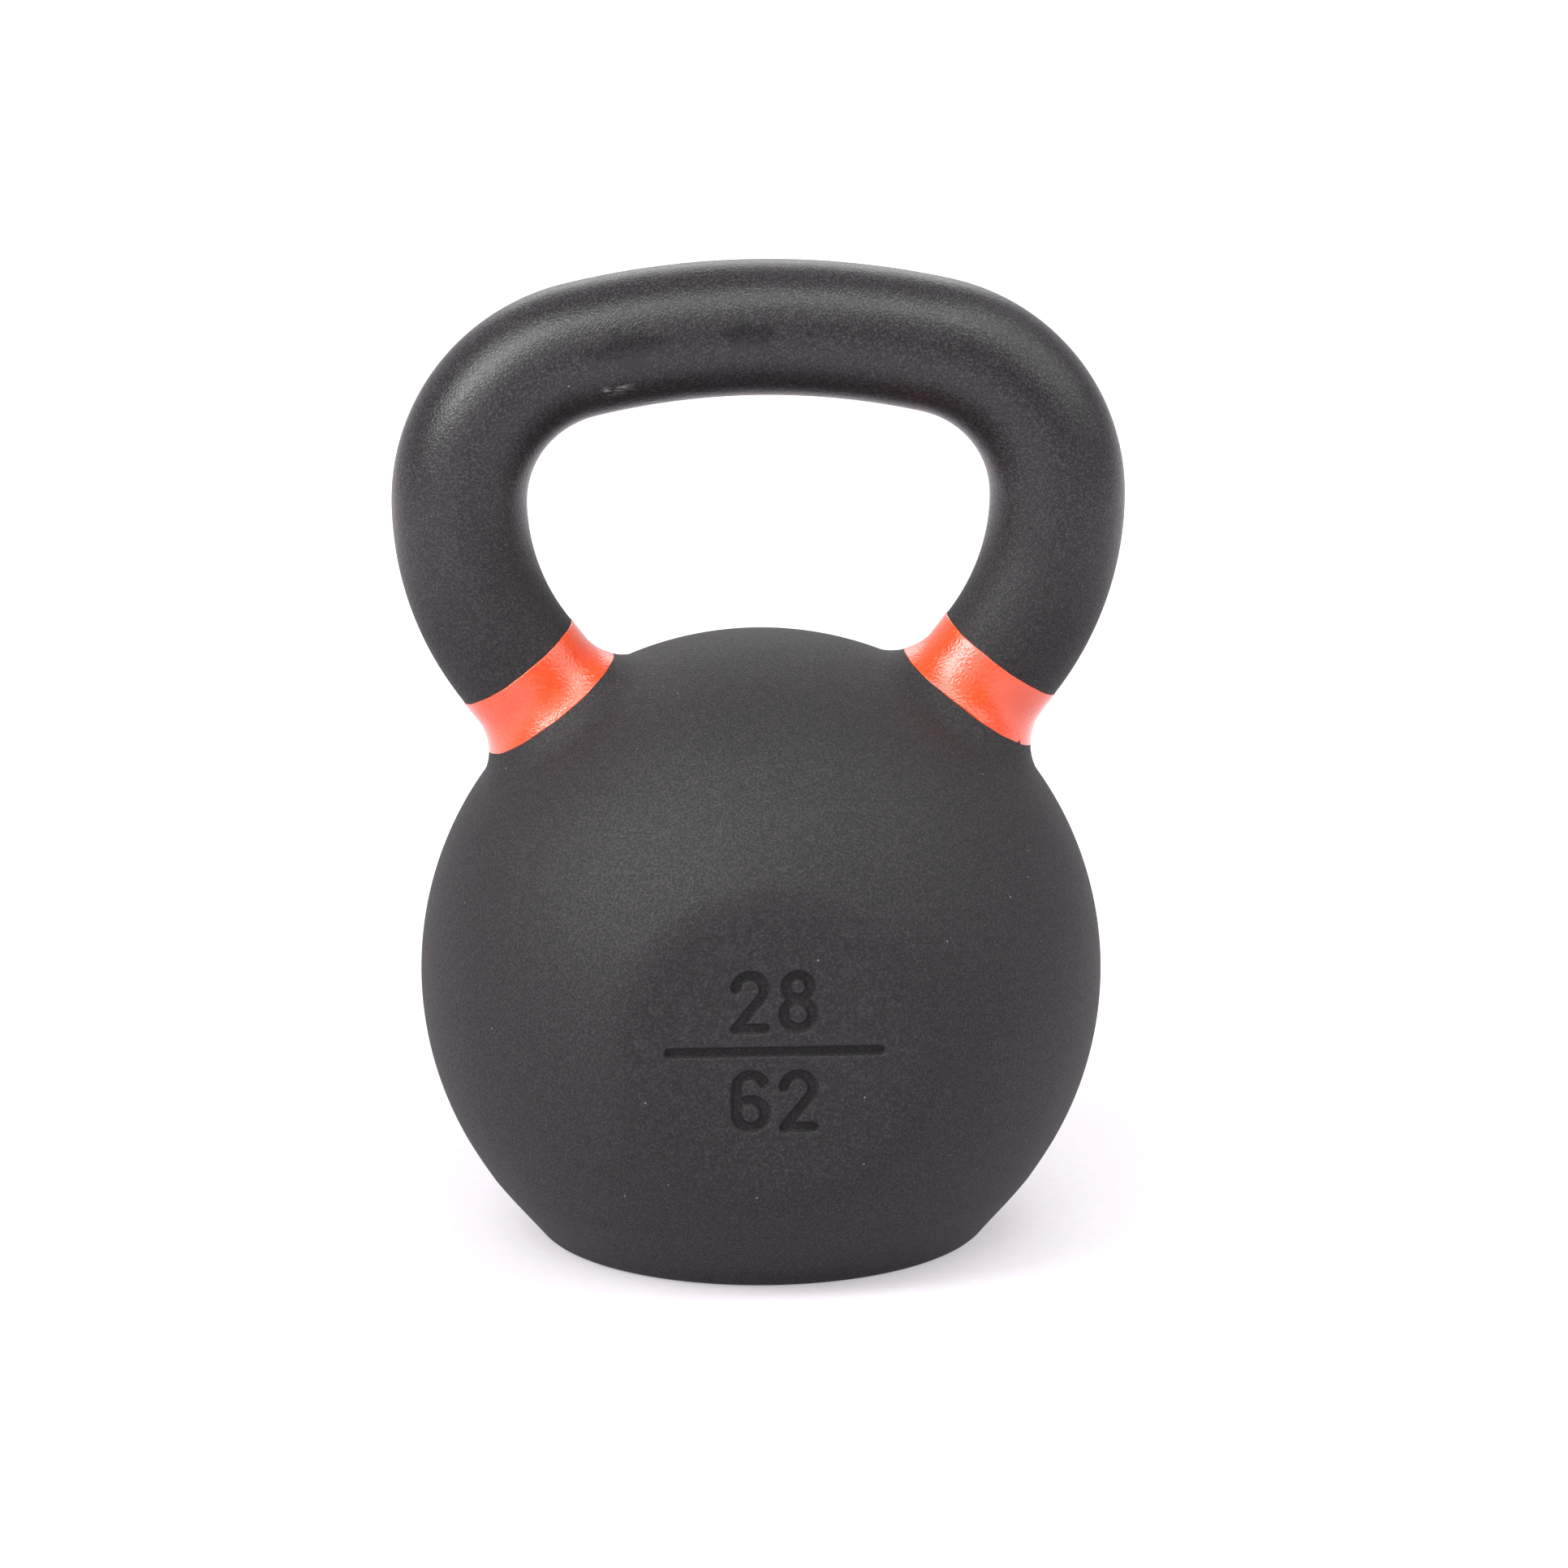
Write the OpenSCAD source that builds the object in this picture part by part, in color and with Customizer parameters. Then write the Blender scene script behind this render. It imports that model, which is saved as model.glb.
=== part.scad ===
// Cast-iron kettlebell with a powder coat and two painted colour bands.
//
// It is one solid pour: ball, foot, horns and grip are a single piece of iron.
// The coat covers all of it but the flat underside, and a colour band is painted
// round each root of the handle. Nothing on it moves and nothing is screwed on.
//
// Millimetres, +Z up. X runs along the grip and -Y is the front, with the weight mark.
// The origin is the centre of the flat base. The handle lies in the plane Y = 0, and its
// centreline is a chain of tangent arcs: one long arc over the top, a tight arc at each
// corner, a wider arc down each horn, then a straight root that points at the ball's centre.

/* [Ball] */
// Radius of the ball
ball_r = 96; // [93:0.5:99]
// Height of the ball's centre above the base
ball_z = 75; // [73:0.5:77]
// Distance from the ball's centre to the flat front and back faces
face_y = 85.5; // [84:0.5:89]

/* [Foot] */
// Radius of the flat base
foot_r = 62.5; // [61.5:0.5:64.5]
// Height at which the foot has run into the ball
foot_h = 13.5; // [12:0.5:15]

/* [Handle] */
// Diameter of the grip, the long arc over the top
grip_d = 38; // [34:0.1:40]
// How much thicker the corners, horns and roots are than the grip
horn_extra_d = 0.1; // [0.1:0.1:3]
// Radius of the grip's arc
grip_arc_r = 217; // [195:1:240]
// Height of the grip's centreline above the ball's centre, at its middle
grip_rise = 185; // [180:0.5:190]
// Radius of the arc down each horn
horn_arc_r = 75.2; // [72:0.2:79]
// Distance from the ball's centre to the end of a root's straight stretch
root_end = 114.2; // [113.6:0.2:117]
// Radius of the fillet between each root and the ball
root_fillet_r = 12; // [9:0.5:14]

/* [Finish] */
// Thickness of the powder coat
coat_t = 0.25; // [0.2:0.05:0.4]
// Thickness of the colour band on top of the coat
band_t = 0.2; // [0.15:0.05:0.3]
// Distance from the ball's centre to a band's lower edge, along the root
band_from = 97.5; // [96:0.5:99]
// Distance from the ball's centre to a band's upper edge, along the root
band_to = 113; // [109:0.5:113]

/* [Weight mark] */
// Height of a numeral
digit_h = 18.2; // [14:0.2:18.2]
// Width of the stroke of a numeral
stroke = 3.1; // [2.4:0.1:3.4]
// Depth of the mark below the front face
mark_depth = 1.6; // [0.8:0.1:2]
// Length of the bar between the two numbers
mark_bar_l = 61; // [50:0.5:64]
// Height of the bar
mark_bar_h = 3; // [2:0.1:3.4]
// Distance from the middle of the bar to the middle of each number
mark_row = 14.2; // [12:0.1:15]
// Distance between the middles of two numerals
digit_pitch = 13.2; // [12:0.1:16]

/* [Hidden] */

$fn = 96;
overlap = 1;   // how far joined solids reach into each other, and cutters reach past a face
grip_r = grip_d / 2;
horn_r = (grip_d + horn_extra_d) / 2;

// Handle centreline, seen from the front, measured from the ball's centre. A root rises 4 for
// every 3 outward, and the horn's arc leaves it along its tangent.
root_dir = [0.6, 0.8];
horn_centre = root_end * root_dir + horn_arc_r * [-root_dir.y, root_dir.x];
horn_x = horn_centre.x + horn_arc_r;

// The corner's arc touches the horn's at its widest place and the grip's at corner_to.
grip_centre_rise = grip_rise - grip_arc_r;
corner_dz = horn_centre.y - grip_centre_rise;
corner_arc_r = (pow(grip_arc_r, 2) - pow(horn_x, 2) - pow(corner_dz, 2)) / (2 * (grip_arc_r - horn_x));
corner_x = horn_x - corner_arc_r;
corner_to = atan2(corner_dz, corner_x);
corner_lap = 0.6;   // degrees by which a corner's arc runs on round the end of the grip

// The fillet's ring, seen across the root's axis: along it, and out from it.
fillet_along = sqrt(pow(ball_r + root_fillet_r, 2) - pow(horn_r + root_fillet_r, 2));
fillet_out = horn_r + root_fillet_r;
fillet_skirt = ball_r * fillet_out / (ball_r + root_fillet_r) - 0.2;
root_start = fillet_along - 30;

// The foot's top ring lies just under the ball's surface.
foot_top_r = sqrt(pow(ball_r, 2) - pow(ball_z - foot_h, 2)) - 0.4;

// Numerals are drawn with strokes about centrelines; bowls are their round parts.
bowl_r = 3.95;
small_bowl_r = 3.35;
stroke_trim = 0.1;   // how much narrower a straight stroke is on each side
stroke_lap = 0.3;    // how far it runs on into the round ends

// ---- The whole form, taken in by an inset on every side but the base ----

module ball(inset) {
    difference() {
        union() {
            translate([0, 0, ball_z]) sphere(r = ball_r - inset);
            cylinder(h = foot_h, r1 = foot_r - inset, r2 = foot_top_r - inset);
        }
        for (side = [-1, 1])
            translate([-ball_r, side * (face_y - inset + ball_r) - ball_r, 0])
                cube([2 * ball_r, 2 * ball_r, 2 * ball_r]);
        translate([-ball_r, -ball_r, -2 * ball_r])
            cube(2 * ball_r);
    }
}

// Stands a solid drawn in the XY plane up in the handle's plane, at a height above the ball's centre.
module in_handle_plane(centre_x, rise) {
    translate([centre_x, 0, ball_z + rise])
        rotate([90, 0, 0])
            children();
}

// Places a solid of revolution drawn along +Z on the axis of the right-hand root.
module on_root() {
    translate([0, 0, ball_z])
        rotate([0, atan2(root_dir.x, root_dir.y), 0])
            children();
}

// Half the section of a root: the straight bar and the fillet that flares into the ball.
module root_section(inset, from, to) {
    intersection() {
        difference() {
            union() {
                translate([0, root_start]) square([horn_r - inset, root_end - root_start]);
                translate([0, root_start]) square([fillet_skirt, fillet_along - root_start]);
            }
            translate([fillet_out, fillet_along]) circle(r = root_fillet_r + inset);
        }
        translate([0, from]) square([ball_r, to - from]);
    }
}

module root(inset) {
    on_root() rotate_extrude() root_section(inset, root_start, root_end);
}

// The horn's arc, cut from a whole ring by a wedge that ends square to the root.
module horn_arc(inset) {
    reach = 2 * horn_arc_r;
    in_handle_plane(horn_centre.x, horn_centre.y)
        intersection() {
            rotate_extrude() translate([horn_arc_r, 0]) circle(r = horn_r - inset);
            translate([0, 0, -horn_arc_r])
                linear_extrude(2 * horn_arc_r)
                    polygon([[0, 0], reach * [root_dir.y, -root_dir.x], [reach, 0]]);
        }
}

module corner(inset) {
    in_handle_plane(corner_x, horn_centre.y)
        rotate_extrude(angle = corner_to + corner_lap)
            translate([corner_arc_r, 0]) circle(r = horn_r - inset);
}

module horn(inset) {
    root(inset);
    horn_arc(inset);
    corner(inset);
}

module grip(inset) {
    in_handle_plane(0, grip_centre_rise)
        rotate([0, 0, corner_to])
            rotate_extrude(angle = 180 - 2 * corner_to)
                translate([grip_arc_r, 0]) circle(r = grip_r - inset);
}

// ---- Weight mark: two numbers with a bar between them, drawn facing +Z ----

module ring(r, w) {
    difference() {
        circle(r = r + w / 2);
        circle(r = r - w / 2);
    }
}

// Part of a ring from one angle to another, with round ends.
module bowl(r, w, from, to) {
    reach = 3 * r;
    steps = 6;
    intersection() {
        ring(r, w);
        polygon([[0, 0], for (i = [0:steps]) let (a = from + (to - from) * i / steps) reach * [cos(a), sin(a)]]);
    }
    for (a = [from, to])
        translate(r * [cos(a), sin(a)]) circle(d = w - stroke_trim);
}

// A straight stroke with round ends, a little narrower than they are, so that its walls cross theirs.
module line(a, b, w) {
    along = b - a;
    narrow = w - 2 * stroke_trim;
    translate(a) rotate(atan2(along.y, along.x))
        translate([-stroke_lap, -narrow / 2]) square([norm(along) + 2 * stroke_lap, narrow]);
    for (end = [a, b])
        translate(end) circle(d = w - stroke_trim);
}

module numeral_two(w) {
    top = digit_h / 2 - stroke / 2 - bowl_r;
    heel = [-bowl_r, (stroke - digit_h) / 2];
    // The slanted stroke leaves the bowl along its tangent and ends at the heel.
    reach = norm(heel - [0, top]);
    leave = atan2(heel.y - top, heel.x) + acos(bowl_r / reach);
    translate([0, top]) bowl(bowl_r, w, leave, 175);
    line([0, top] + bowl_r * [cos(leave), sin(leave)], heel, w);
    line(heel, [bowl_r, heel.y], w);
}

module numeral_eight(w) {
    translate([0, (digit_h - stroke) / 2 - small_bowl_r]) ring(small_bowl_r, w);
    translate([0, (stroke - digit_h) / 2 + bowl_r]) ring(bowl_r, w);
}

module numeral_six(w) {
    low = (stroke - digit_h) / 2 + bowl_r;
    translate([0, low]) ring(bowl_r, w);
    translate([0, -low]) bowl(bowl_r, w, 25, 180);
    line([-bowl_r, low], [-bowl_r, -low], w);
}

module weight_mark(w) {
    translate([-digit_pitch / 2, mark_row]) numeral_two(w);
    translate([digit_pitch / 2, mark_row]) numeral_eight(w);
    bar_reach = (mark_bar_l - mark_bar_h) / 2;
    line([-bar_reach, 0], [bar_reach, 0], mark_bar_h - stroke + w);
    translate([-digit_pitch / 2, -mark_row]) numeral_six(w);
    translate([digit_pitch / 2, -mark_row]) numeral_two(w);
}

// The sunk mark as a cutter that opens at the front face.
module mark_cutter(inset) {
    translate([0, -(face_y - inset - mark_depth), ball_z])
        rotate([90, 0, 0])
            linear_extrude(mark_depth + overlap)
                weight_mark(stroke + 2 * inset);
}

module form(inset) {
    difference() {
        ball(inset);
        mark_cutter(inset);
    }
    horn(inset);
    mirror([1, 0, 0]) horn(inset);
    grip(inset);
}

// ---- The pieces ----

module iron_casting() {
    color("dimgray") form(coat_t);
}

module powder_coat() {
    color([0.33, 0.32, 0.33])
        difference() {
            form(0);
            form(coat_t);
            translate([0, 0, -overlap]) cylinder(h = 2 * overlap, r = foot_r - coat_t);
        }
}

module colour_band() {
    on_root()
        rotate_extrude()
            difference() {
                root_section(-band_t, band_from, band_to);
                root_section(0, root_start, root_end);
            }
}

module left_colour_band() {
    color([1, 0.44, 0.31]) mirror([1, 0, 0]) colour_band();
}

module right_colour_band() {
    color([1, 0.44, 0.31]) colour_band();
}

iron_casting();
powder_coat();
left_colour_band();
right_colour_band();
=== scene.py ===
"""Looks for the kettlebell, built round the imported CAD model.

The outside is one signed distance field in millimetres: the same ball, foot, flats and handle as
the CAD, with the soft edges that a casting has under a powder coat. It is meshed once, with finer
patches at the weight mark and round the base, and that mesh gives three surfaces: the outside of
the coat, the inside of the coat, and the iron under it. The colour bands are thin shells laid on
the same field. Meshes are turned into metres at the very end.
"""

import math

import bpy
import numpy as np
from mathutils import Matrix, Vector
from mathutils.geometry import delaunay_2d_cdt
from mathutils.kdtree import KDTree


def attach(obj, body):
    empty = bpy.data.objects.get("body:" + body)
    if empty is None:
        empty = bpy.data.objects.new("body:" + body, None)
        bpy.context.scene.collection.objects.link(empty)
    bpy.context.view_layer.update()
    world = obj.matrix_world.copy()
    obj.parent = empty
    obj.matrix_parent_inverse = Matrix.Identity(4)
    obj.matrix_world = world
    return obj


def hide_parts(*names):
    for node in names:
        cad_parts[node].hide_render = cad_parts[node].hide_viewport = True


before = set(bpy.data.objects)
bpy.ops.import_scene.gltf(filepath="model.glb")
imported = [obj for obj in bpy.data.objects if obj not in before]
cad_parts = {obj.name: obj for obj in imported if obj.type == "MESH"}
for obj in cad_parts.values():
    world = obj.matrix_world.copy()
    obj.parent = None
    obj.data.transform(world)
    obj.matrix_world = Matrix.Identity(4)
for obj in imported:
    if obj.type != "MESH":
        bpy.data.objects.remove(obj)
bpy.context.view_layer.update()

# ---- Sizes in millimetres, as in the CAD ----

BALL_R = 96.0
BALL_Z = 75.0
FACE_Y = 85.5
FOOT_R = 62.5
FOOT_H = 13.5
FOOT_TUCK = 0.4         # how far the foot's top ring lies under the ball's surface
FOOT_TOP_R = math.sqrt(BALL_R**2 - (BALL_Z - FOOT_H) ** 2) - FOOT_TUCK
GRIP_R = 18.95          # a hair under the CAD, so that the looks stay inside its box
GRIP_ARC_R = 217.0
GRIP_RISE = 185.0
HORN_ARC_R = 75.2
ROOT_START = 70.0
ROOT_END = 114.2
ROOT_FILLET_R = 12.0
ROOT_DIR = np.array([0.6, 0.8])
COAT_T = 0.25
BAND_T = 0.2
BAND_FROM = 97.5
BAND_TO = 113.0

# The handle's centreline is a chain of arcs in the plane y = 0, measured from the ball's centre.
HORN_CENTRE = ROOT_END * ROOT_DIR + HORN_ARC_R * np.array([-ROOT_DIR[1], ROOT_DIR[0]])
HORN_FROM = -math.atan2(ROOT_DIR[0], ROOT_DIR[1])
HORN_X = HORN_CENTRE[0] + HORN_ARC_R
GRIP_CENTRE = np.array([0.0, GRIP_RISE - GRIP_ARC_R])
CORNER_DZ = HORN_CENTRE[1] - GRIP_CENTRE[1]
CORNER_R = (GRIP_ARC_R**2 - HORN_X**2 - CORNER_DZ**2) / (2 * (GRIP_ARC_R - HORN_X))
CORNER_CENTRE = np.array([HORN_X - CORNER_R, HORN_CENTRE[1]])
CORNER_TO = math.atan2(CORNER_DZ, CORNER_CENTRE[0])

# Weight mark: two numbers with a bar between them.
DIGIT_H = 18.2
DIGIT_PITCH = 13.2
STROKE = 3.1
BOWL_R = 3.95
SMALL_BOWL_R = 3.35
TWO_FROM = math.radians(175)  # where a two starts on its bowl
SIX_FROM = math.radians(25)  # where a six starts on its bowl
MARK_ROW = 14.2
MARK_DEPTH = 1.6
BAR_L = 61.0
BAR_H = 3.0
MARK_MIDDLE = np.array([0, BALL_Z])

# ---- Sizes that only the looks have ----

FACE_BLEND = 2.4        # how close two surfaces are when their edge starts to soften
FOOT_BLEND = 1.2
BASE_BLEND = 1.8
FOOT_FADE = 0.1         # slope with which the foot runs out into the ball above its top
BARE_R = 60.2           # the coat ends here, where the ground underside starts
IRON_GAP = 0.02         # between the coat's inside and the iron
WALL_OUT = 0.35         # a mark's wall runs from here outside its outline
WALL_IN = 0.8           # to here inside it
BAND_SINK = 0.06        # how far a band's hidden side lies under the coat's surface

# Wear on the coat, each mark as its middle and its reach: two smears, a worn zone and a scuff on
# the front of the grip, and casting pits with a middle and a radius.
SMEARS = (((-36.5, -18.0, 258.0), (13.0, 9.0, 8.0)), ((-3.0, -18.0, 261.0), (10.0, 9.0, 5.5)))
WORN = ((-5.0, -20.0, 250.0), (62.0, 9.0, 9.0))
SCUFF = ((-40.0, -16.5, 246.5), (7.0, 5.0, 2.6))
PITS = (
    ((-57.0, -60.5, 27.0), 0.7),
    ((75.0, -17.0, 205.0), 0.7),
    ((-12.0, -73.0, 13.5), 0.5),
    ((6.5, -82.5, 26.0), 0.8),
    ((12.0, -70.0, 10.0), 0.6),
)

# Sizes of the mesh's faces, and of the patches that are finer than the rest of it.
NET_STEP = 2.24
RELAX_ROUNDS = 5        # how often the main mesh is evened out
FACE_REACH = 37.5       # the patch over the front face, from the mark's middle
FACE_POINTS_REACH = 34.0  # its own points stop short of its outline
FACE_FRONT = 0.9 * FACE_Y  # what is further forward than this belongs to the front face
WALL_STEP = 0.42        # along the mark's walls
WALL_ROOM = 0.12        # least room between two points on the walls
WALL_LEVELS = 6         # lines of points from the foot of a wall to its top
MARK_STEP = 0.9         # in and near the mark
MARK_NEAR = 2.2         # how far round the mark that is
FACE_STEP = 2.0         # over the rest of the face
BASE_REACH = 70.0       # the patch round the base, from its middle
BASE_RINGS = (BARE_R, 60.9, 61.5, 62.1, 62.8, 63.6, 64.6, 65.8)
BASE_SPOKES = 256
BASE_STEP = 4.0         # over the flat underside
BASE_START = 0.3        # height from which the base's points move onto the surface
GROUND = 1e-4           # points lower than this lie on the ground
BAND_SPOKES = 240
BAND_EDGE = np.array([0, 0.1, 0.25, 0.45])  # rows over a band's rounded edge, from its end
BAND_ROWS = 11          # rows between its two rounded edges

METRES = 0.001          # in a millimetre


# ---- The form, as a signed distance field ----

def smooth_max(a, b, blend):
    """What lies inside both fields, with the edge between them softened."""
    near = np.maximum(blend - np.abs(a - b), 0) / blend
    return np.maximum(a, b) + near * near * blend / 4


def smooth_min(a, b, blend):
    """What lies inside either field, with the corner between them softened."""
    return -smooth_max(-a, -b, blend)


def fillet_union(a, b, radius):
    """What lies inside either field, with a fillet in the corner between them."""
    inner = np.hypot(np.maximum(radius - a, 0), np.maximum(radius - b, 0))
    return np.maximum(radius, np.minimum(a, b)) - inner


def line_distance(u, v, start, end):
    along = np.subtract(end, start)
    t = np.clip(((u - start[0]) * along[0] + (v - start[1]) * along[1]) / (along @ along), 0, 1)
    return np.hypot(u - start[0] - t * along[0], v - start[1] - t * along[1])


def arc_distance(u, v, centre, radius, low, high):
    du, dv = u - centre[0], v - centre[1]
    angle = np.arctan2(dv, du)
    to_arc = np.abs(np.hypot(du, dv) - radius)
    to_ends = [np.hypot(du - radius * math.cos(a), dv - radius * math.sin(a)) for a in (low, high)]
    return np.where((angle >= low) & (angle <= high), to_arc, np.minimum(*to_ends))


def handle_field(x, y, rise):
    u = np.abs(x)
    in_plane = line_distance(u, rise, ROOT_START * ROOT_DIR, ROOT_END * ROOT_DIR)
    for centre, radius, low, high in (
        (HORN_CENTRE, HORN_ARC_R, HORN_FROM, 0.0),
        (CORNER_CENTRE, CORNER_R, 0.0, CORNER_TO),
        (GRIP_CENTRE, GRIP_ARC_R, CORNER_TO, math.pi / 2),
    ):
        in_plane = np.minimum(in_plane, arc_distance(u, rise, centre, radius, low, high))
    return np.hypot(in_plane, y) - GRIP_R


def foot_field(out, z):
    """The tapered foot, which runs out gently into the ball above its top."""
    run, rise = FOOT_TOP_R - FOOT_R, FOOT_H
    side = ((out - FOOT_R) * rise - z * run) / math.hypot(run, rise)
    above = z - FOOT_H
    return np.maximum(side, np.minimum(above, FOOT_FADE * above))


def form(p):
    """Distance from the coated kettlebell without its weight mark, negative inside."""
    x, y, z = p[..., 0], p[..., 1], p[..., 2]
    rise = z - BALL_Z
    body = np.sqrt(x * x + y * y + rise * rise) - BALL_R
    body = smooth_min(body, foot_field(np.hypot(x, y), z), FOOT_BLEND)
    body = smooth_max(body, np.abs(y) - FACE_Y, FACE_BLEND)
    return smooth_max(fillet_union(body, handle_field(x, y, rise), ROOT_FILLET_R), -z, BASE_BLEND)


def unit(v):
    return v / np.linalg.norm(v, axis=-1, keepdims=True)


def gradient(field, p, eps=0.02):
    return np.stack([(field(p + s) - field(p - s)) / (2 * eps) for s in eps * np.eye(p.shape[-1])], -1)


def onto(field, p, along=None, level=0.0, rounds=6):
    """Moves points to the field's level, straight out or along given directions."""
    for _ in range(rounds):
        slope = gradient(field, p)
        way = slope if along is None else along
        p = p - ((field(p) - level) / np.sum(slope * way, -1))[..., None] * way
    return p


# ---- The weight mark, seen from the front about its middle ----

def mark_strokes():
    """Each stroke is its width and a line's two ends, or an arc's centre, radius and angles."""
    low = (STROKE - DIGIT_H) / 2 + BOWL_R
    foot = (STROKE - DIGIT_H) / 2
    heel = np.array([-BOWL_R, foot])
    reach = math.hypot(BOWL_R, foot + low)
    leave = math.atan2(foot + low, -BOWL_R) + math.acos(BOWL_R / reach)
    neck = np.array([BOWL_R * math.cos(leave), BOWL_R * math.sin(leave) - low])
    two = [
        ((0, -low), BOWL_R, leave, TWO_FROM),
        (neck, heel),
        (heel, (BOWL_R, foot)),
    ]
    eight = [
        ((0, -foot - SMALL_BOWL_R), SMALL_BOWL_R, -math.pi, math.pi),
        ((0, low), BOWL_R, -math.pi, math.pi),
    ]
    six = [
        ((0, low), BOWL_R, -math.pi, math.pi),
        ((0, -low), BOWL_R, SIX_FROM, math.pi),
        ((-BOWL_R, low), (-BOWL_R, -low)),
    ]
    side = DIGIT_PITCH / 2
    strokes = []
    for numeral, at in (
        (two, (-side, MARK_ROW)),
        (eight, (side, MARK_ROW)),
        (six, (-side, -MARK_ROW)),
        (two, (side, -MARK_ROW)),
    ):
        for first, second, *angles in numeral:
            second = second if angles else np.add(second, at)
            strokes.append((STROKE, np.add(first, at), second, *angles))
    half = (BAR_L - BAR_H) / 2
    strokes.append((BAR_H, np.array([-half, 0.0]), np.array([half, 0.0])))
    return strokes


STROKES = mark_strokes()


def mark_field(p):
    """Distance from the outline of the mark, negative inside its strokes."""
    found = np.inf
    for width, *shape in STROKES:
        distance = line_distance if len(shape) == 2 else arc_distance
        found = np.minimum(found, distance(p[..., 0], p[..., 1], *shape) - width / 2)
    return found


def mark_sink(p):
    """How deep the mark is at points on the front face."""
    t = np.clip((WALL_OUT - mark_field(p)) / (WALL_OUT + WALL_IN), 0, 1)
    return MARK_DEPTH * t * t * (3 - 2 * t)


def polar(centre, radius, angles):
    return np.asarray(centre) + radius * np.stack([np.cos(angles), np.sin(angles)], -1)


def contour(level, spacing):
    """Points along one level of the mark's field."""
    found = []
    for width, first, second, *angles in STROKES:
        out = width / 2 + level
        if angles:
            ends = polar(first, second, np.array(angles))
            for radius in (second - out, second + out):
                count = math.ceil(radius * (angles[1] - angles[0]) / spacing)
                found.append(polar(first, radius, np.linspace(*angles, count + 1)))
        else:
            ends = (first, second)
            along = second - first
            count = math.ceil(math.hypot(*along) / spacing)
            across = out * np.array([-along[1], along[0]]) / math.hypot(*along)
            middle = first + np.linspace(0, 1, count + 1)[:, None] * along
            found += [middle + across, middle - across]
        turn = np.linspace(0, 2 * math.pi, math.ceil(2 * math.pi * out / spacing), endpoint=False)
        found += [polar(end, out, turn) for end in ends]
    found = np.concatenate(found)
    covered = np.abs(mark_field(found) - level) > 0.01
    return found[~covered]


def hexagonal(reach, spacing):
    rows = np.arange(-reach, reach, spacing * math.sqrt(3) / 2)
    columns = np.arange(-reach, reach, spacing)
    u, v = np.meshgrid(columns, rows)
    u[::2] += spacing / 2
    grid = np.stack([u.ravel(), v.ravel()], -1)
    return grid[np.hypot(*grid.T) < reach]


def thin(groups):
    """Joins groups of points, dropping each that is too near an earlier one."""
    points = np.concatenate([g for g, _ in groups])
    room = np.concatenate([np.full(len(g), r) for g, r in groups])
    tree = KDTree(len(points))
    for i, p in enumerate(points):
        tree.insert((*p, 0), i)
    tree.balance()
    kept = np.zeros(len(points), bool)
    for i, p in enumerate(points):
        kept[i] = not any(kept[j] for _, j, _ in tree.find_range((*p, 0), room[i]))
    return points[kept]


# ---- Meshing ----

def surface_net(field, low, high, step):
    """A quad mesh of the field's zero, with one point in each grid cell that it crosses."""
    axes = [np.arange(a, b + step, step) for a, b in zip(low, high)]
    values = field(np.stack(np.meshgrid(*axes, indexing="ij"), -1))
    cells = values.shape
    rings, crossings = [], []
    for axis in range(3):
        ahead, aside = np.roll(np.eye(3, dtype=int), -axis - 1, 0)[:2]
        below = values.take(range(cells[axis] - 1), axis)
        above = values.take(range(1, cells[axis]), axis)
        at = np.argwhere((below < 0) != (above < 0))
        start, end = below[tuple(at.T)], above[tuple(at.T)]
        crossings.append(at + np.eye(3)[axis] * (start / (start - end))[:, None])
        around = (0 * ahead, ahead, ahead + aside, aside)
        ring = np.stack([np.ravel_multi_index((at - o).T, cells) for o in around], -1)
        rings.append(np.where((start < 0)[:, None], ring, ring[:, ::-1]))
    rings = np.concatenate(rings)
    crossings = np.repeat(np.concatenate(crossings), 4, 0)
    used, quads = np.unique(rings, return_inverse=True)
    quads = quads.reshape(-1)
    sums = np.stack([np.bincount(quads, c) for c in crossings.T], -1)
    points = np.array(low) + step * sums / np.bincount(quads)[:, None]
    return points, quads.reshape(-1, 4)


def relax(field, points, quads, rounds):
    """Evens out the mesh by sliding its points along the surface."""
    start = quads.ravel()
    end = np.roll(quads, -1, 1).ravel()
    for _ in range(rounds):
        sums = np.stack([np.bincount(start, c) for c in points[end].T], -1)
        move = sums / np.bincount(start)[:, None] - points
        normal = unit(gradient(field, points))
        move -= np.sum(move * normal, -1, keepdims=True) * normal
        points = onto(field, points + 0.6 * move, rounds=2)
    return points


def border_loop(faces):
    """The one closed loop of edges that only one face has, in the direction of a face across it."""
    edges = {(f[i - 1], f[i]) for f in faces for i in range(len(f))}
    after = {b: a for a, b in edges if (b, a) not in edges}
    loop = [min(after)]
    while after[loop[-1]] != loop[0]:
        loop.append(after[loop[-1]])
    return loop


def repatch(points, faces, gone, axes, inner, lift):
    """Swaps faces for triangles over inner points, which are given flat along two axes."""
    kept = [f for f in faces if not all(gone[i] for i in f)]
    loop = border_loop(kept)
    outline = points[loop][:, axes]
    flat = [Vector(p) for p in np.concatenate([outline, inner])]
    _, _, triangles, origins, _, _ = delaunay_2d_cdt(flat, [], [list(range(len(loop)))], 1, 1e-7)
    number = [loop[o[0]] if o[0] < len(loop) else len(points) + o[0] - len(loop) for o in origins]
    made = [tuple(number[i] for i in t) for t in triangles]
    return np.concatenate([points, lift(inner)]), kept + made


def used_only(points, faces, *fields):
    """Drops the points that no face uses, and their rows in the fields."""
    used = np.unique(np.concatenate([np.array(f) for f in faces]))
    number = np.zeros(len(points), int)
    number[used] = np.arange(len(used))
    return points[used], [tuple(number[list(f)]) for f in faces], *(f[used] for f in fields)


# ---- The outside of the coat ----

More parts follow.
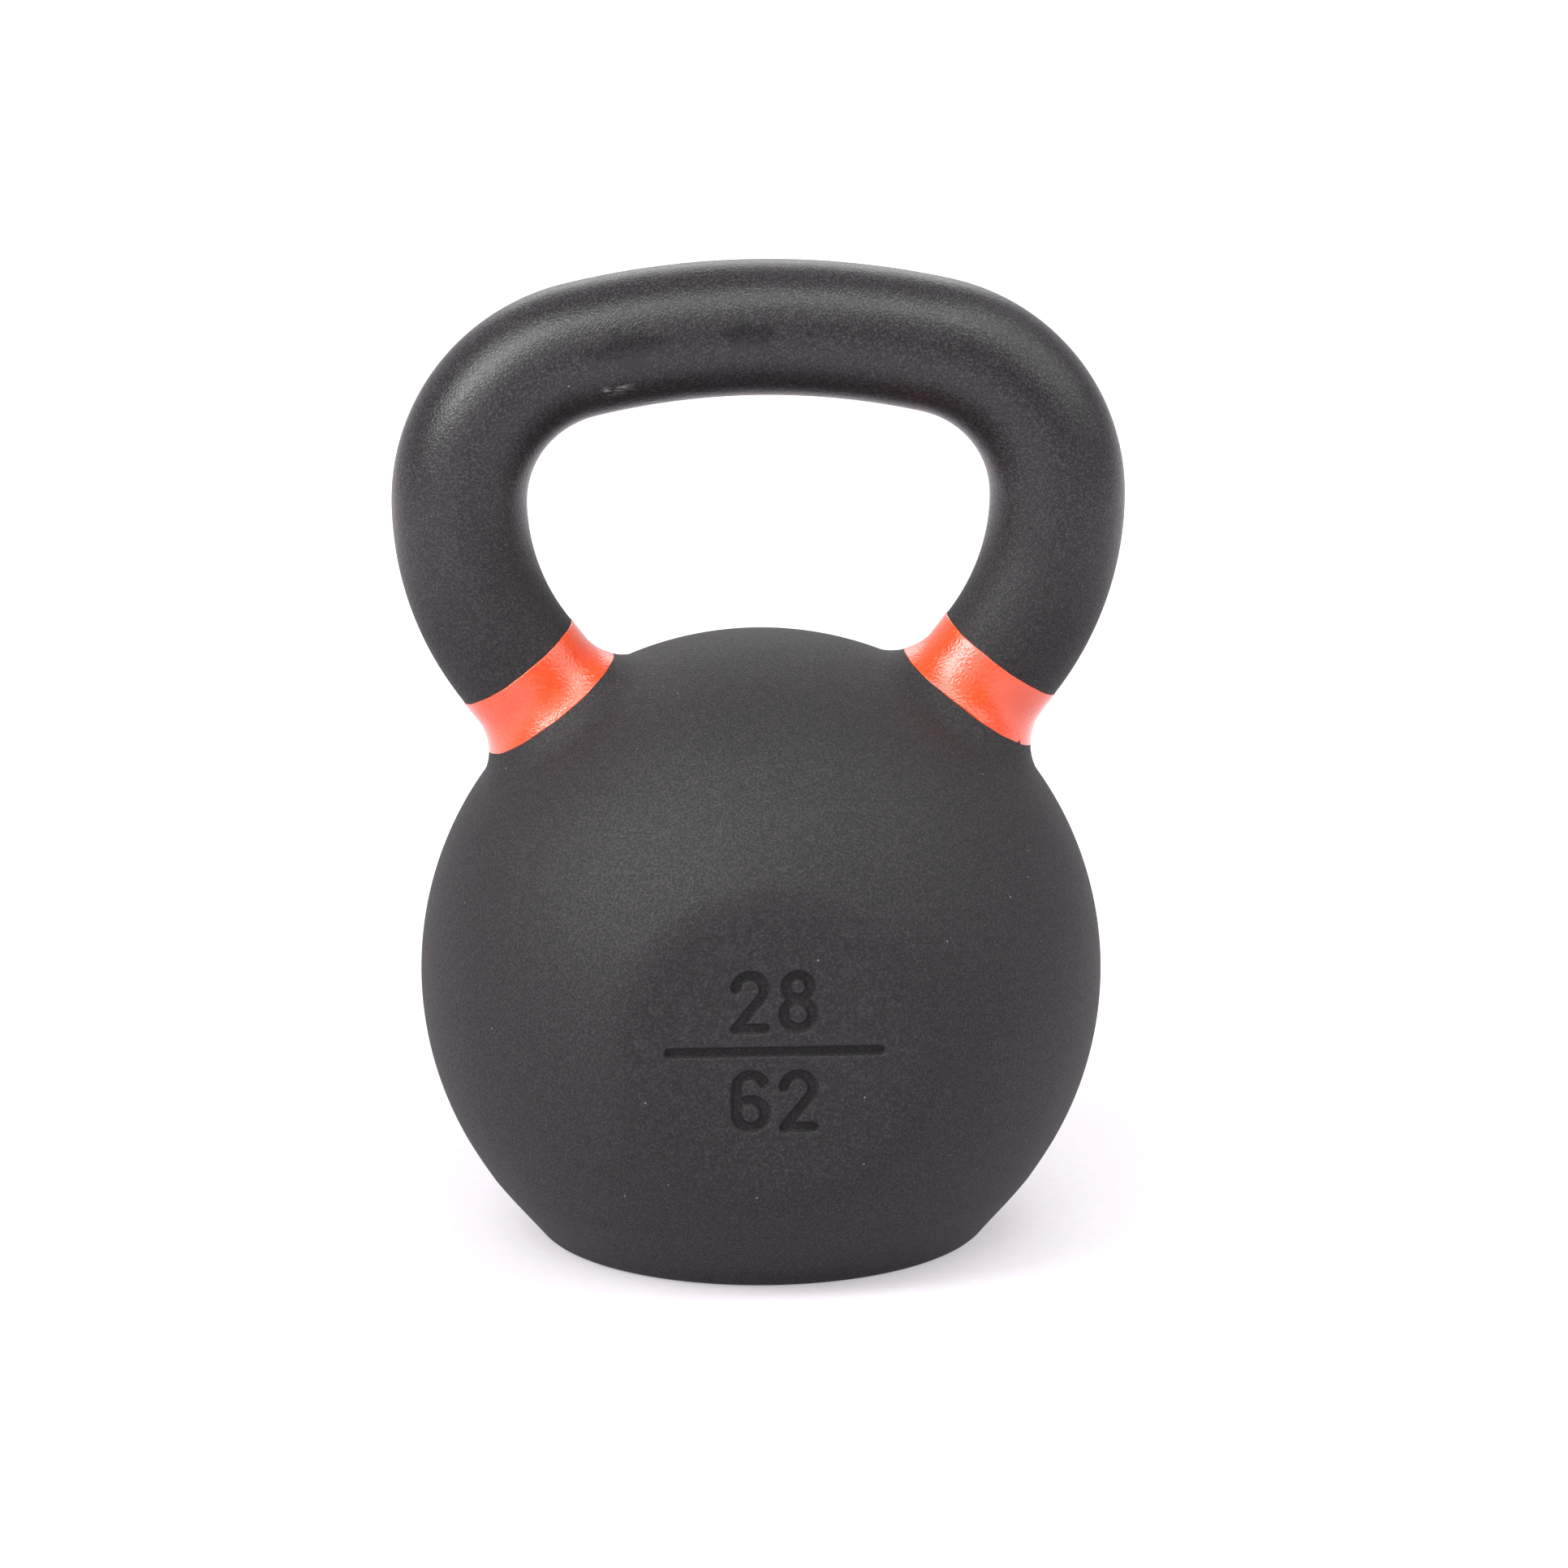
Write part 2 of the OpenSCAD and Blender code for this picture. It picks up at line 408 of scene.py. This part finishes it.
def face_patch():
    """Points over the front face: along the mark's walls, then wider and wider apart."""
    levels = np.linspace(-WALL_IN, WALL_OUT, WALL_LEVELS)
    walls = np.concatenate([contour(level, WALL_STEP) for level in levels])
    grid = hexagonal(FACE_POINTS_REACH, MARK_STEP)
    near = grid[mark_field(grid) < MARK_NEAR]
    far = hexagonal(FACE_POINTS_REACH, FACE_STEP)
    groups = [(walls, WALL_ROOM), (near, 0.5 * MARK_STEP), (far, 0.6 * FACE_STEP)]
    return MARK_MIDDLE + thin(groups)


def onto_face(p):
    """Lays the face patch's points on the flat face, sunk where the mark is."""
    return np.stack([p[:, 0], mark_sink(p - MARK_MIDDLE) - FACE_Y, p[:, 1]], -1)


def base_patch():
    """Rings of points round the edge of the base, and a few over its flat middle."""
    around = np.linspace(0, 2 * math.pi, BASE_SPOKES, endpoint=False)
    rings = [polar((0, 0), r, around) for r in BASE_RINGS]
    return np.concatenate([*rings, hexagonal(BARE_R - BASE_STEP / 2, BASE_STEP)])


def onto_base(p):
    """Brings the base patch's points straight up or down onto the surface."""
    start = np.stack([p[:, 1], p[:, 0], np.full(len(p), BASE_START)], -1)
    return onto(form, start, along=np.array([0, 0, 1.0]), rounds=8)


def near_mark(points):
    """Which points lie on the front face within the patch's reach."""
    from_middle = np.linalg.norm(points[:, [0, 2]] - MARK_MIDDLE, axis=-1)
    return (from_middle < FACE_REACH) & (points[:, 1] < -FACE_FRONT)


def outside():
    """The whole outside as one closed mesh, with its finer patches put in."""
    margin = 2 * NET_STEP
    high = np.array([HORN_X + GRIP_R, FACE_Y, BALL_Z + GRIP_RISE + GRIP_R]) + margin
    low = np.array([-high[0], -high[1], -margin])
    points, quads = surface_net(form, low, high, NET_STEP)
    points = relax(form, onto(form, points), quads, RELAX_ROUNDS)
    faces = [tuple(q) for q in quads.tolist()]

    points, faces = repatch(points, faces, near_mark(points), [0, 2], face_patch(), onto_face)

    near_base = (np.hypot(points[:, 0], points[:, 1]) < BASE_REACH) & (points[:, 2] < FOOT_H)
    points, faces = repatch(points, faces, near_base, [1, 0], base_patch(), onto_base)
    return used_only(points, faces)


def shading(points, outward):
    """The form's normals, tilted on the walls of the mark."""
    on_face = near_mark(points)
    slope = gradient(mark_sink, points[on_face][:, [0, 2]] - MARK_MIDDLE)
    normals = outward.copy()
    normals[on_face] = unit(np.stack([slope[:, 0], np.full(len(slope), -1.0), slope[:, 1]], -1))
    return normals


# ---- Pieces ----

def add_mesh(name, points, faces, material, node, normals=None):
    mesh = bpy.data.meshes.new(name)
    mesh.from_pydata((points * METRES).tolist(), [], faces)
    mesh.polygons.foreach_set("use_smooth", [True] * len(faces))
    if normals is not None:
        mesh.normals_split_custom_set_from_vertices(normals.tolist())
    mesh.materials.append(material)
    piece = bpy.data.objects.new(name, mesh)
    bpy.context.collection.objects.link(piece)
    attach(piece, "root")
    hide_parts(node)


def add_coat(points, faces, outward, normals):
    """A closed shell: the outside, the inside and the narrow rim between them at the base."""
    on_base = points[:, 2] < GROUND
    faces = [f for f in faces if not all(on_base[i] for i in f)]
    points, faces, outward, normals = used_only(points, faces, outward, normals)
    n = len(points)
    inside = [tuple(i + n for i in reversed(f)) for f in faces]
    edges = {(f[i - 1], f[i]) for f in faces for i in range(len(f))}
    rim = [(b, a, a + n, b + n) for a, b in edges if (b, a) not in edges]
    points = np.concatenate([points, points - COAT_T * outward])
    normals = np.concatenate([normals, -normals])
    add_mesh("coat_skin", points, faces + inside + sorted(rim), coat_material(),
             "powder_coat", normals)


def add_casting(points, faces, outward, normals):
    """The iron under the coat, which comes down to the ground at the bare underside."""
    inset = np.where(points[:, 2] < GROUND, 0, COAT_T + IRON_GAP)
    add_mesh("casting_body", points - inset[:, None] * outward, faces, iron_material(),
             "iron_casting", normals)


def band_wave(turn, waves):
    """How far an edge wanders at each turn, from waves of a count, a size and a phase."""
    return sum(size * np.sin(count * turn + phase) for count, size, phase in waves)


def add_band(name, node, side, lower_waves, upper_waves, nick=None):
    """A thin closed shell round one root, with edges that wander a little, as masked paint does.

    A nick is a dent in the lower edge, given by its turn, its width and its depth.
    """
    turn = np.linspace(0, 2 * math.pi, BAND_SPOKES, endpoint=False)
    lower = BAND_FROM + band_wave(turn, lower_waves)
    upper = BAND_TO + band_wave(turn, upper_waves)
    if nick:
        at, width, depth = nick
        lower += depth * np.exp(-((np.angle(np.exp(1j * (turn - at))) / width) ** 2))
    rounding = BAND_EDGE[-1]
    lift = BAND_T * np.sqrt(1 - (1 - BAND_EDGE / rounding) ** 2)
    across = np.linspace(0, 1, BAND_ROWS + 2)[1:-1]
    rows = [lower + e for e in BAND_EDGE]
    rows += [lower + rounding + t * (upper - lower - 2 * rounding) for t in across]
    rows += [upper - e for e in BAND_EDGE[::-1]]
    lifts = np.concatenate([lift, np.full(BAND_ROWS, BAND_T), lift[::-1]])
    along = np.array([side * ROOT_DIR[0], 0, ROOT_DIR[1]])
    out = np.array([side * ROOT_DIR[1], 0, -ROOT_DIR[0]])
    spokes = np.cos(turn)[:, None] * out + np.sin(turn)[:, None] * [0, 1, 0]
    start = [0, 0, BALL_Z] + GRIP_R * spokes
    shell = []
    for row, height in [*zip(rows, lifts), *zip(rows[::-1], [-BAND_SINK] * len(rows))]:
        shell.append(onto(form, start + row[:, None] * along, along=spokes, level=height))
    count, rings = len(turn), len(shell)
    faces = []
    for i in range(rings):
        for j in range(count):
            near, far = i * count, (i + 1) % rings * count
            k = (j + 1) % count
            faces.append((near + j, near + k, far + k, far + j)[:: int(side)])
    add_mesh(name, np.concatenate(shell), faces, ORANGE, node)


# ---- Materials: procedural, in object space, with sizes in metres ----

class Shader:
    """A material's node tree, built one node at a time."""

    def __init__(self, name):
        self.material = bpy.data.materials.new(name)
        self.material.use_nodes = True
        self.tree = self.material.node_tree
        self.tree.nodes.clear()
        self.place = self.add("TexCoord").outputs["Object"]

    def add(self, kind, inputs=None, **settings):
        node = self.tree.nodes.new("ShaderNode" + kind)
        for key, value in settings.items():
            setattr(node, key, value)
        for key, value in (inputs or {}).items():
            if isinstance(value, bpy.types.NodeSocket):
                self.tree.links.new(value, node.inputs[key])
            else:
                node.inputs[key].default_value = value
        return node

    def math(self, operation, a, b):
        return self.add("Math", {0: a, 1: b}, operation=operation).outputs[0]

    def ramp(self, value, low, high, to_low=0.0, to_high=1.0):
        """Turns low to high into to_low to to_high, smoothly, and holds the ends."""
        inputs = {"Value": value, 1: low, 2: high, 3: to_low, 4: to_high}
        return self.add("MapRange", inputs, interpolation_type="SMOOTHSTEP").outputs["Result"]

    def mix(self, share, a, b):
        node = self.add("Mix", data_type="RGBA")
        for key, value in ((0, share), (6, a), (7, b)):
            if isinstance(value, bpy.types.NodeSocket):
                self.tree.links.new(value, node.inputs[key])
            else:
                node.inputs[key].default_value = value if key == 0 else (*value, 1)
        return node.outputs[2]

    def noise(self, size, detail, rough=0.5, at=None):
        """Cloudy variation from 0 to 1, in lumps about as large as the size."""
        inputs = {"Scale": 1 / size, "Detail": detail, "Roughness": rough}
        return self.add("TexNoise", {"Vector": at or self.place, **inputs}).outputs["Fac"]

    def specks(self, spacing, radius, share):
        """1 on scattered round specks: one in a share of the cells, in a random place there."""
        node = self.add("TexVoronoi", {"Vector": self.place, "Scale": 1 / spacing})
        near = self.ramp(node.outputs["Distance"], radius / spacing, 0.6 * radius / spacing)
        chosen = self.add("SeparateColor", {0: node.outputs["Color"]}).outputs[0]
        return self.math("MULTIPLY", near, self.math("LESS_THAN", chosen, share))

    def spot(self, middle, reach, soft, ragged=None):
        """1 inside an ellipsoid, falling to 0 at its edge; noise can make the edge ragged."""
        away = self.add("VectorMath", {0: self.place, 1: middle}, operation="SUBTRACT").outputs[0]
        away = self.add("VectorMath", {0: away, 1: reach}, operation="DIVIDE").outputs[0]
        away = self.add("VectorMath", {0: away}, operation="LENGTH").outputs["Value"]
        if ragged is not None:
            away = self.math("ADD", away, ragged)
        return self.ramp(away, 1.0, 1.0 - soft)

    def bump(self, height, distance, strength=1.0, normal=None):
        inputs = {"Height": height, "Distance": distance, "Strength": strength}
        if normal is not None:
            inputs["Normal"] = normal
        return self.add("Bump", inputs).outputs["Normal"]

    def finish(self, **inputs):
        shader = self.add("BsdfPrincipled", {k.replace("_", " "): v for k, v in inputs.items()})
        self.add("OutputMaterial", {"Surface": shader.outputs[0]})
        return self.material


def mm(*sizes):
    """Millimetres in metres."""
    return tuple(METRES * s for s in sizes)


def coat_material():
    """Matt black powder coat with a sandy grain, handling marks on the grip, small pits, and painted
    shade inside the weight mark.
    """
    s = Shader("matt_black_powder_coat")
    grain = s.noise(0.0006, detail=3, rough=0.7)
    orange_peel = s.noise(0.0022, detail=2)
    clouds = s.noise(0.022, detail=4, rough=0.6)

    colour = s.mix(s.ramp(clouds, 0.3, 0.7), (0.0064, 0.0057, 0.0063), (0.008, 0.0072, 0.0079))
    colour = s.mix(s.ramp(grain, 0.42, 0.7), colour, (0.03, 0.0272, 0.0296))
    colour = s.mix(s.specks(0.006, 0.00032, 0.16), colour, (0.17, 0.16, 0.165))

    # Hands have rubbed the handle, more towards the grip.
    place = s.add("SeparateXYZ", {0: s.place}).outputs
    handled = s.ramp(place["Z"], 0.17, 0.215)
    sanded = s.math("MULTIPLY", handled, s.ramp(grain, 0.45, 0.65, 0.0, 0.2))
    colour = s.mix(sanded, colour, (0.07, 0.066, 0.07))

    # Dark smears and a pale scuff on the front of the grip.
    ragged = s.ramp(s.noise(0.005, detail=4, rough=0.7), 0.3, 0.7, -0.3, 0.3)
    smears = [s.spot(mm(*middle), mm(*reach), 0.6, ragged) for middle, reach in SMEARS]
    smeared = s.math("MAXIMUM", *smears)
    colour = s.mix(s.math("MULTIPLY", smeared, 0.6), colour, (0.006, 0.0055, 0.006))
    streaks = s.add("VectorMath", {0: s.place, 1: (0.4, 1.0, 2.2)}, operation="MULTIPLY").outputs[0]
    scuffed = s.ramp(s.noise(0.0012, detail=3, at=streaks), 0.46, 0.58)
    scuff = s.math("MULTIPLY", s.spot(mm(*SCUFF[0]), mm(*SCUFF[1]), 0.9, ragged), scuffed)
    colour = s.mix(s.math("MULTIPLY", scuff, 0.8), colour, (0.22, 0.21, 0.21))

    # Painted shade: the coat's colour is darkened inside the weight mark, standing in for the shade in
    # its recess; the coat is also a little rougher there.
    shaded_recess = s.spot(mm(0, -FACE_Y, BALL_Z), mm(40, MARK_DEPTH + 1, 40), 0.01)
    shaded_recess = s.math("MULTIPLY", shaded_recess, s.ramp(place["Y"], *mm(0.1 - FACE_Y, 0.7 - FACE_Y)))
    colour = s.mix(s.math("MULTIPLY", shaded_recess, 0.2), colour, (0.003, 0.0027, 0.003))

    # Small pits from the casting, scattered all round, and a few in chosen places.
    pits = s.specks(0.021, 0.00055, 0.22)
    for middle, radius in PITS:
        pits = s.math("MAXIMUM", pits, s.spot(mm(*middle), mm(radius, radius, radius), 0.5))
    colour = s.mix(s.math("MULTIPLY", pits, 0.8), colour, (0.012, 0.011, 0.012))

    rough = s.math("ADD", s.ramp(grain, 0.3, 0.7, 0.72, 0.62), s.math("MULTIPLY", handled, -0.34))
    rough = s.math("SUBTRACT", rough, s.math("MULTIPLY", smeared, 0.12))
    rough = s.math("ADD", rough, s.math("MULTIPLY", shaded_recess, 0.1))
    relief = s.math("ADD", s.noise(0.0006, detail=1), s.math("MULTIPLY", orange_peel, 0.4))
    worn = s.spot(mm(*WORN[0]), mm(*WORN[1]), 0.9)
    relief = s.math("MULTIPLY", relief, s.math("SUBTRACT", 1.0, s.math("MULTIPLY", worn, 0.6)))
    relief = s.math("ADD", relief, s.math("MULTIPLY", smeared, s.noise(0.0014, detail=2)))
    normal = s.bump(relief, 0.00014)
    normal = s.bump(s.math("MULTIPLY", pits, -1.0), 0.00025, normal=normal)
    return s.finish(Base_Color=colour, Roughness=rough, Normal=normal, Specular_IOR_Level=0.32)


def band_material():
    """Satin orange paint, thin enough for the sandy coat under it to show."""
    s = Shader("satin_orange_paint")
    grain = s.noise(0.0008, detail=3, rough=0.6)
    patches = s.noise(0.009, detail=4, rough=0.65)
    colour = s.mix(s.ramp(patches, 0.35, 0.65), (0.62, 0.04, 0.0), (0.64, 0.05, 0.002))
    colour = s.mix(s.ramp(grain, 0.45, 0.75, 0.0, 0.3), colour, (0.64, 0.1, 0.03))
    colour = s.mix(s.specks(0.006, 0.0002, 0.1), colour, (0.25, 0.03, 0.02))
    rough = s.ramp(patches, 0.3, 0.7, 0.36, 0.26)
    normal = s.bump(s.noise(0.0008, detail=1), 0.00016)
    return s.finish(Base_Color=colour, Roughness=rough, Normal=normal, Coat_Weight=0.7,
                    Coat_Roughness=0.24, Coat_Normal=normal)


def iron_material():
    """Bare cast iron, ground flat, with the grinder's marks and a few pores."""
    s = Shader("ground_cast_iron")
    turned = {"Rotation": (0, 0, math.radians(24)), "Scale": (1, 22, 1)}
    lay = s.add("Mapping", {"Vector": s.place, **turned})
    marks = s.noise(0.011, detail=5, rough=0.75, at=lay.outputs[0])
    stain = s.noise(0.018, detail=4, rough=0.6)
    pores = s.specks(0.0045, 0.0005, 0.25)
    colour = s.mix(s.ramp(marks, 0.35, 0.65), (0.20, 0.195, 0.19), (0.42, 0.41, 0.40))
    colour = s.mix(s.ramp(stain, 0.5, 0.75, 0.0, 0.4), colour, (0.16, 0.12, 0.09))
    colour = s.mix(pores, colour, (0.03, 0.028, 0.027))
    height = s.math("SUBTRACT", marks, s.math("MULTIPLY", pores, 2.0))
    return s.finish(Base_Color=colour, Metallic=0.9, Roughness=s.ramp(marks, 0.3, 0.7, 0.52, 0.34),
                    Normal=s.bump(height, 0.00006))


def floor_material():
    """White floor with a faint tooth, lit by painted light: it glows, and glows less round a point
    left of the object, as a painted shadow.
    """
    s = Shader("studio_floor")
    tooth = s.noise(0.004, detail=3)
    colour = s.mix(s.ramp(tooth, 0.3, 0.7), (0.44, 0.412, 0.445), (0.46, 0.432, 0.465))
    # Painted shadow: the floor's glow is weakest near this point, left of the object's middle.
    shade = (-0.12, 0, 0)
    away = s.add("VectorMath", {0: s.place, 1: shade}, operation="DISTANCE").outputs["Value"]
    glow = s.ramp(away, 0.1, 0.6, 0.4, 0.92)
    return s.finish(Base_Color=colour, Roughness=0.9, Normal=s.bump(tooth, 0.0001, 0.3),
                    Emission_Color=(1.0, 0.95, 1.0, 1), Emission_Strength=glow)


# ---- The object ----

POINTS, FACES = outside()
OUTWARD = unit(gradient(form, POINTS))
NORMALS = shading(POINTS, OUTWARD)
add_coat(POINTS, FACES, OUTWARD, NORMALS)
add_casting(POINTS, FACES, OUTWARD, NORMALS)
ORANGE = band_material()
add_band("left_band_paint", "left_colour_band", -1,
         ((2, 0.12, 0.4), (5, 0.07, 1.9), (13, 0.04, 0.3)),
         ((3, 0.1, 2.2), (7, 0.06, 0.8), (17, 0.03, 1.2)))
add_band("right_band_paint", "right_colour_band", 1,
         ((3, 0.1, 1.1), (6, 0.08, 0.2), (15, 0.04, 2.0)),
         ((2, 0.12, 1.7), (7, 0.07, 2.9), (19, 0.03, 0.6)),
         nick=(-0.71, 0.02, 1.0))


# ---- Floor, lights and camera, in metres and degrees ----

LIT_MIDDLE = Vector((0, 0, 0.12))
VIEW_AZIMUTH = -2.455
VIEW_ELEVATION = 16.0
VIEW_ROLL = -0.293
VIEW_DISTANCE = 3.0316
VIEW_SENSOR = 36.0      # width in millimetres
VIEW_LENS = 246.2       # focal length in millimetres
VIEW_SHIFT = (0.01466, 0.1166)  # across and up, in widths of the sensor

# Each light's azimuth, elevation, distance, width, height and brightness.
SOFTBOXES = {
    "left_key": (-62, 30, 1.2, 0.45, 0.45, 10.0),
    "left_panel": (-60, 40, 1.2, 0.8, 0.8, 5.0),
    "high_left": (-45, 50, 1.2, 0.5, 0.5, 4.8),
    "right_panel": (70, 43, 1.3, 1.3, 1.3, 2.7),
    "top_panel": (5, 67, 1.0, 1.0, 0.4, 5.1),
    "front_panel": (0, 35, 1.7, 0.8, 0.8, 1.35),
    "left_front_panel": (-30, 15, 1.7, 0.8, 0.8, 2.2),
    "back_panel": (180, 30, 1.7, 1.2, 0.8, 2.2),
}


def add_floor(reach):
    """A flat grid of square faces on the ground."""
    count = 40
    at = np.linspace(-reach, reach, count + 1)
    x, y = np.meshgrid(at, at)
    points = np.stack([x.ravel(), y.ravel(), np.zeros(x.size)], -1)
    corners = np.arange(points.shape[0]).reshape(x.shape)
    quads = np.stack([corners[:-1, :-1], corners[:-1, 1:], corners[1:, 1:], corners[1:, :-1]], -1)
    mesh = bpy.data.meshes.new("floor")
    mesh.from_pydata(points.tolist(), [], quads.reshape(-1, 4).tolist())
    mesh.materials.append(floor_material())
    floor = bpy.data.objects.new("floor", mesh)
    bpy.context.collection.objects.link(floor)


def direction(azimuth, elevation):
    """Unit vector towards a place seen from the object: azimuth 0 is the front, positive is +X."""
    a, e = math.radians(azimuth), math.radians(elevation)
    return Vector((math.sin(a) * math.cos(e), -math.cos(a) * math.cos(e), math.sin(e)))


def add_softbox(name, azimuth, elevation, distance, width, height, brightness):
    """An area light whose panel, seen head on, is as bright as a white of the given strength."""
    lamp = bpy.data.lights.new(name, "AREA")
    lamp.shape = "RECTANGLE"
    lamp.size, lamp.size_y = width, height
    lamp.energy = brightness * math.pi * width * height
    box = bpy.data.objects.new(name, lamp)
    back = direction(azimuth, elevation)
    box.location = LIT_MIDDLE + distance * back
    box.rotation_euler = back.to_track_quat("Z", "Y").to_euler()
    box.visible_camera = False
    bpy.context.collection.objects.link(box)


def add_camera():
    """A long lens, a little above the object and turned a little round its own axis."""
    back = direction(VIEW_AZIMUTH, VIEW_ELEVATION)
    right = Vector((0, 0, 1)).cross(back).normalized()
    axes = Matrix((right, back.cross(right), back)).transposed()
    lens = bpy.data.cameras.new("camera")
    lens.sensor_width = VIEW_SENSOR
    lens.lens = VIEW_LENS
    lens.shift_x, lens.shift_y = VIEW_SHIFT
    camera = bpy.data.objects.new("camera", lens)
    turned = axes.to_4x4() @ Matrix.Rotation(math.radians(VIEW_ROLL), 4, "Z")
    place = Vector((0, 0, BALL_Z * METRES)) + VIEW_DISTANCE * back
    camera.matrix_world = Matrix.Translation(place) @ turned
    bpy.context.collection.objects.link(camera)
    bpy.context.scene.camera = camera


def add_world(front, back):
    """A plain room, brighter behind the object than in front of it, that looks white to the camera."""
    world = bpy.data.worlds.new("studio")
    world.use_nodes = True
    tree = world.node_tree
    toward = tree.nodes.new("ShaderNodeTexCoord").outputs["Generated"]
    split = tree.nodes.new("ShaderNodeSeparateXYZ")
    tree.links.new(toward, split.inputs[0])
    ramp = tree.nodes.new("ShaderNodeMapRange")
    tree.links.new(split.outputs["Y"], ramp.inputs["Value"])
    for key, value in ((1, 0.0), (2, 0.9), (3, front), (4, back)):
        ramp.inputs[key].default_value = value
    shown = tree.nodes.new("ShaderNodeMath")
    shown.operation = "ADD"
    tree.links.new(ramp.outputs["Result"], shown.inputs[0])
    tree.links.new(tree.nodes.new("ShaderNodeLightPath").outputs["Is Camera Ray"], shown.inputs[1])
    background = tree.nodes["Background"]
    background.inputs["Color"].default_value = (1.0, 0.965, 1.0, 1)
    tree.links.new(shown.outputs[0], background.inputs["Strength"])
    bpy.context.scene.world = world


add_floor(reach=8.0)
add_world(front=0.16, back=0.85)
for light, settings in SOFTBOXES.items():
    add_softbox(light, *settings)
add_camera()
bpy.context.scene.view_settings.view_transform = "Standard"
